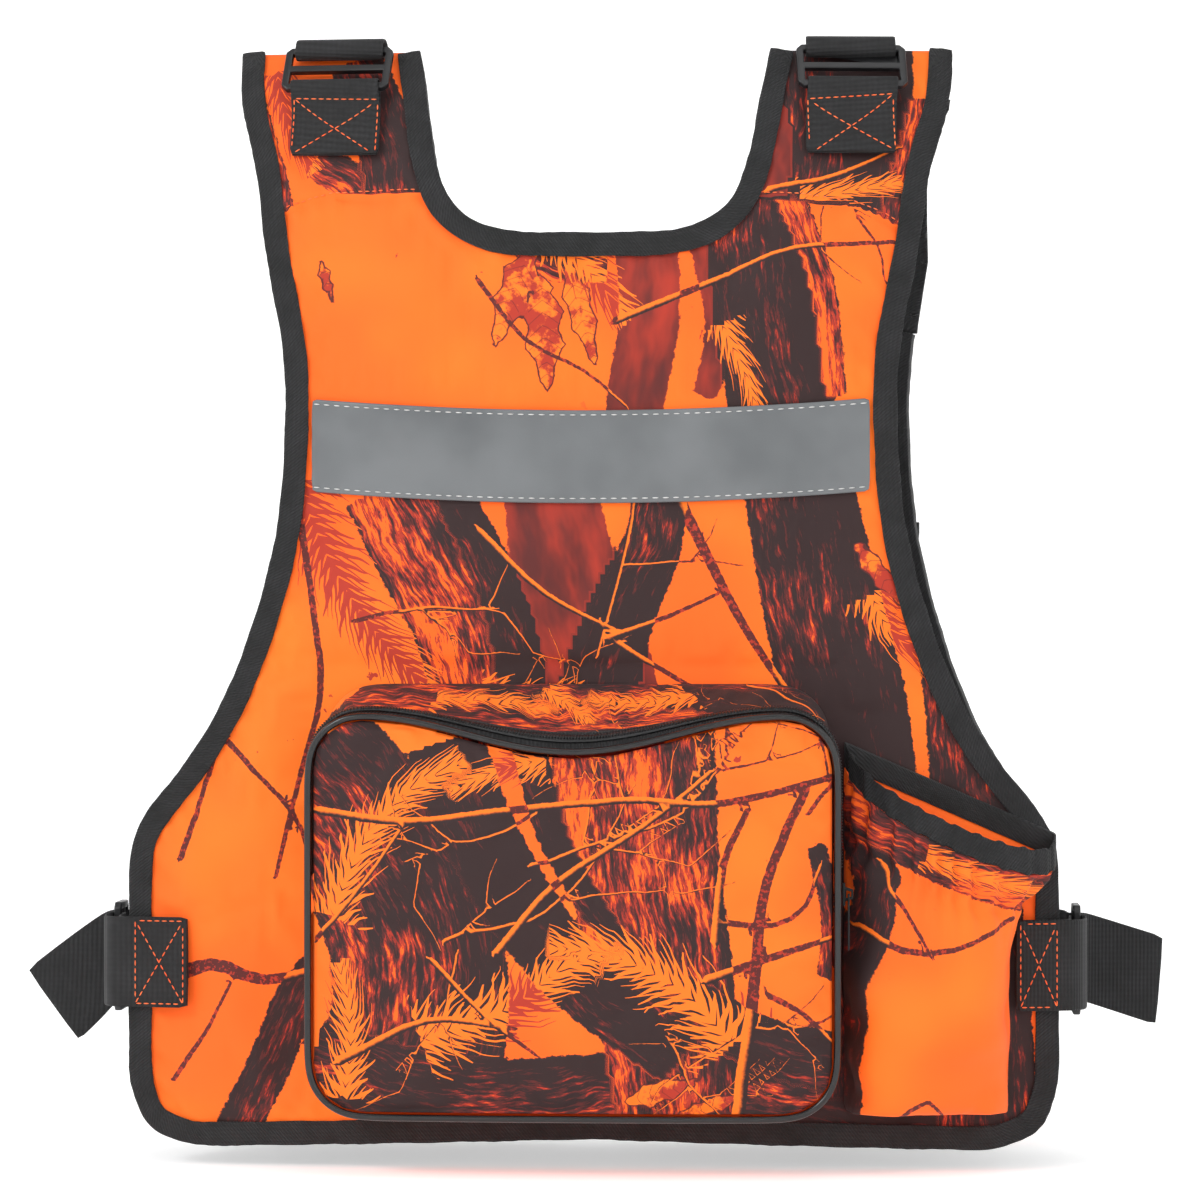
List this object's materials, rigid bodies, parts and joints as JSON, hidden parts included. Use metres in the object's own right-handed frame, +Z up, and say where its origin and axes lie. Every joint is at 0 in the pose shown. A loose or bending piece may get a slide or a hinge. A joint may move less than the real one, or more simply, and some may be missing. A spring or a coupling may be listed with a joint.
{
  "type": "field vest",
  "caption": "Sleeveless padded vest in a blaze woodland print, open at the front, with webbing shoulder and side straps, a reflective band, a large back pocket and a slanted bottle pocket.",
  "frame": {"origin": "between the two shoulder straps, level with the shoulder ends of the back panel, where the straps rest on the wearer", "axes": "+X to the wearer's right, +Y to the wearer's front, +Z up"},
  "size_m": [0.6344, 0.2254, 0.6155],
  "materials": {
    "camo_cloth": "woven polyester with a printed woodland camouflage in blaze orange, maroon and red-brown",
    "pad_foam": "thin quilted foam and wadding, hidden between the cloth and the lining",
    "mesh_lining": "black open knit mesh",
    "twill_tape": "black polyester twill tape",
    "webbing": "black ribbed polypropylene webbing, sewn with orange thread",
    "reflective_tape": "grey glass-bead reflective tape with a dashed white stitch along both edges",
    "piping": "black glossy vinyl piping",
    "zip_tape": "black woven zip tape",
    "zip_teeth": "black moulded nylon teeth",
    "zip_metal": "black lacquered die-cast slider",
    "buckle_plastic": "black moulded acetal"
  },
  "bodies": {
    "back": {"back_pad": "pad_foam", "back_shell": "camo_cloth", "back_pocket_gusset": "camo_cloth", "back_pocket_lower_wall": "camo_cloth", "back_pocket_face": "camo_cloth", "bottle_pocket": "camo_cloth", "back_lining": "mesh_lining", "back_edge_binding": "twill_tape", "back_neck_binding": "twill_tape", "back_pocket_zip_tab_left": "twill_tape", "back_pocket_zip_tab_right": "twill_tape", "bottle_pocket_rim_tape": "twill_tape", "back_reflective_strip": "reflective_tape", "back_pocket_zip_tape": "zip_tape", "back_pocket_zip_coil": "zip_teeth", "back_pocket_piping": "piping", "shoulder_slider_left": "buckle_plastic", "side_slider_left": "buckle_plastic", "back_shoulder_web_left": "webbing", "front_shoulder_web_left": "webbing", "side_loop_left": "webbing", "side_strap_left": "webbing", "front_yoke_left": "camo_cloth", "shoulder_slider_right": "buckle_plastic", "side_slider_right": "buckle_plastic", "back_shoulder_web_right": "webbing", "front_shoulder_web_right": "webbing", "side_loop_right": "webbing", "side_strap_right": "webbing", "front_yoke_right": "camo_cloth"},
    "front_left": {"front_shell_left": "camo_cloth", "front_lining_left": "mesh_lining", "front_edge_binding_left": "twill_tape", "front_reflective_strip_left": "reflective_tape", "front_zip_tape_left": "zip_tape", "front_zip_teeth_left": "zip_teeth", "front_pocket_left": "camo_cloth", "waist_web_left": "webbing", "waist_buckle_socket": "buckle_plastic"},
    "front_right": {"front_shell_right": "camo_cloth", "front_lining_right": "mesh_lining", "front_edge_binding_right": "twill_tape", "front_reflective_strip_right": "reflective_tape", "front_zip_tape_right": "zip_tape", "front_zip_teeth_right": "zip_teeth", "front_zip_box": "zip_teeth", "front_pocket_right": "camo_cloth", "waist_web_right": "webbing", "waist_buckle_plug": "buckle_plastic", "d_ring_tab": "webbing"},
    "back_zip_slider": {"back_pocket_zip_slider": "zip_metal"},
    "back_zip_pull": {"back_pocket_zip_pull": "zip_metal"},
    "front_zip_slider_body": {"front_zip_slider": "zip_metal"},
    "front_zip_pull_body": {"front_zip_pull": "zip_metal"},
    "flap_left": {"front_pocket_flap_left": "camo_cloth"},
    "flap_right": {"front_pocket_flap_right": "camo_cloth"},
    "d_ring_body": {"d_ring": "buckle_plastic"}
  },
  "joints": [
    {"name": "front_left_open", "type": "hinge", "parent": "back", "child": "front_left", "pos_m": [-0.178, 0.057, -0.15], "axis": [0.2253, 0.0375, 0.9736], "range_deg": [0, 110]},
    {"name": "front_right_open", "type": "hinge", "parent": "back", "child": "front_right", "pos_m": [0.178, 0.057, -0.15], "axis": [0.2253, -0.0375, -0.9736], "range_deg": [0, 110]},
    {"name": "back_zip_travel", "type": "slide", "parent": "back", "child": "back_zip_slider", "axis": [0, 0, 1], "range_m": [0, 0.06]},
    {"name": "back_zip_pull_swing", "type": "hinge", "parent": "back_zip_slider", "child": "back_zip_pull", "pos_m": [0.13938, -0.10265, -0.4566], "axis": [0, -1, 0], "range_deg": [0, 14]},
    {"name": "front_zip_travel", "type": "slide", "parent": "front_right", "child": "front_zip_slider_body", "axis": [0, 0, 1], "range_m": [0, 0.31]},
    {"name": "front_zip_pull_swing", "type": "hinge", "parent": "front_zip_slider_body", "child": "front_zip_pull_body", "pos_m": [0.0057, 0.06846, -0.5646], "axis": [1, 0, 0], "range_deg": [0, 110]},
    {"name": "flap_left_lift", "type": "hinge", "parent": "front_left", "child": "flap_left", "pos_m": [-0.12841, 0.06763, -0.381], "axis": [0.995, 0.1003, 0], "range_deg": [0, 80]},
    {"name": "flap_right_lift", "type": "hinge", "parent": "front_right", "child": "flap_right", "pos_m": [0.12841, 0.06763, -0.381], "axis": [0.995, -0.1003, 0], "range_deg": [0, 80]},
    {"name": "d_ring_swing", "type": "hinge", "parent": "front_right", "child": "d_ring_body", "pos_m": [0.16728, 0.06897, -0.25735], "axis": [0.9916, -0.1296, 0], "range_deg": [0, 95]}
  ]
}
